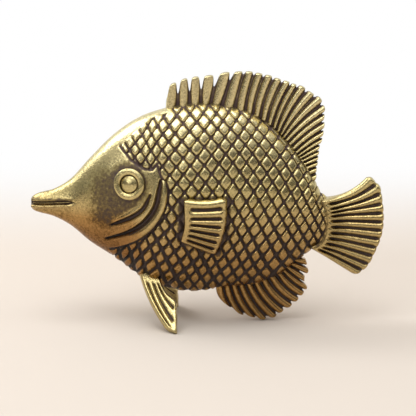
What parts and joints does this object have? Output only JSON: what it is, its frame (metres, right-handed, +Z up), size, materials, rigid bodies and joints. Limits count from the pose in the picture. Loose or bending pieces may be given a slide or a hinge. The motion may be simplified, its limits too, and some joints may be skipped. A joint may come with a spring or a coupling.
{
  "type": "fish figurine",
  "caption": "Small antiqued brass fish with a long snout, scaled flanks and ribbed fins, standing on its splayed pelvic fins and its anal fin as a table ornament.",
  "frame": {"origin": "centre of the bounding box's bottom face, on the floor between the feet", "axes": "+X towards the tail, +Y towards the fish's right flank, +Z up"},
  "size_m": [0.045, 0.0156, 0.0323],
  "materials": {
    "antique_brass": "antiqued: dark patina in the grooves, worn bright on the ridges"
  },
  "bodies": {
    "root": {"dorsal_fin": "antique_brass", "anal_fin": "antique_brass", "tail_fin": "antique_brass", "flank_left": "antique_brass", "flank_right": "antique_brass", "pectoral_fin_left": "antique_brass", "pectoral_fin_right": "antique_brass", "pelvic_fin_left": "antique_brass", "pelvic_fin_right": "antique_brass", "gill_cover_left": "antique_brass", "gill_cover_right": "antique_brass", "eye_ring_left": "antique_brass", "eye_ring_right": "antique_brass", "pupil_left": "antique_brass", "pupil_right": "antique_brass"}
  },
  "joints": []
}
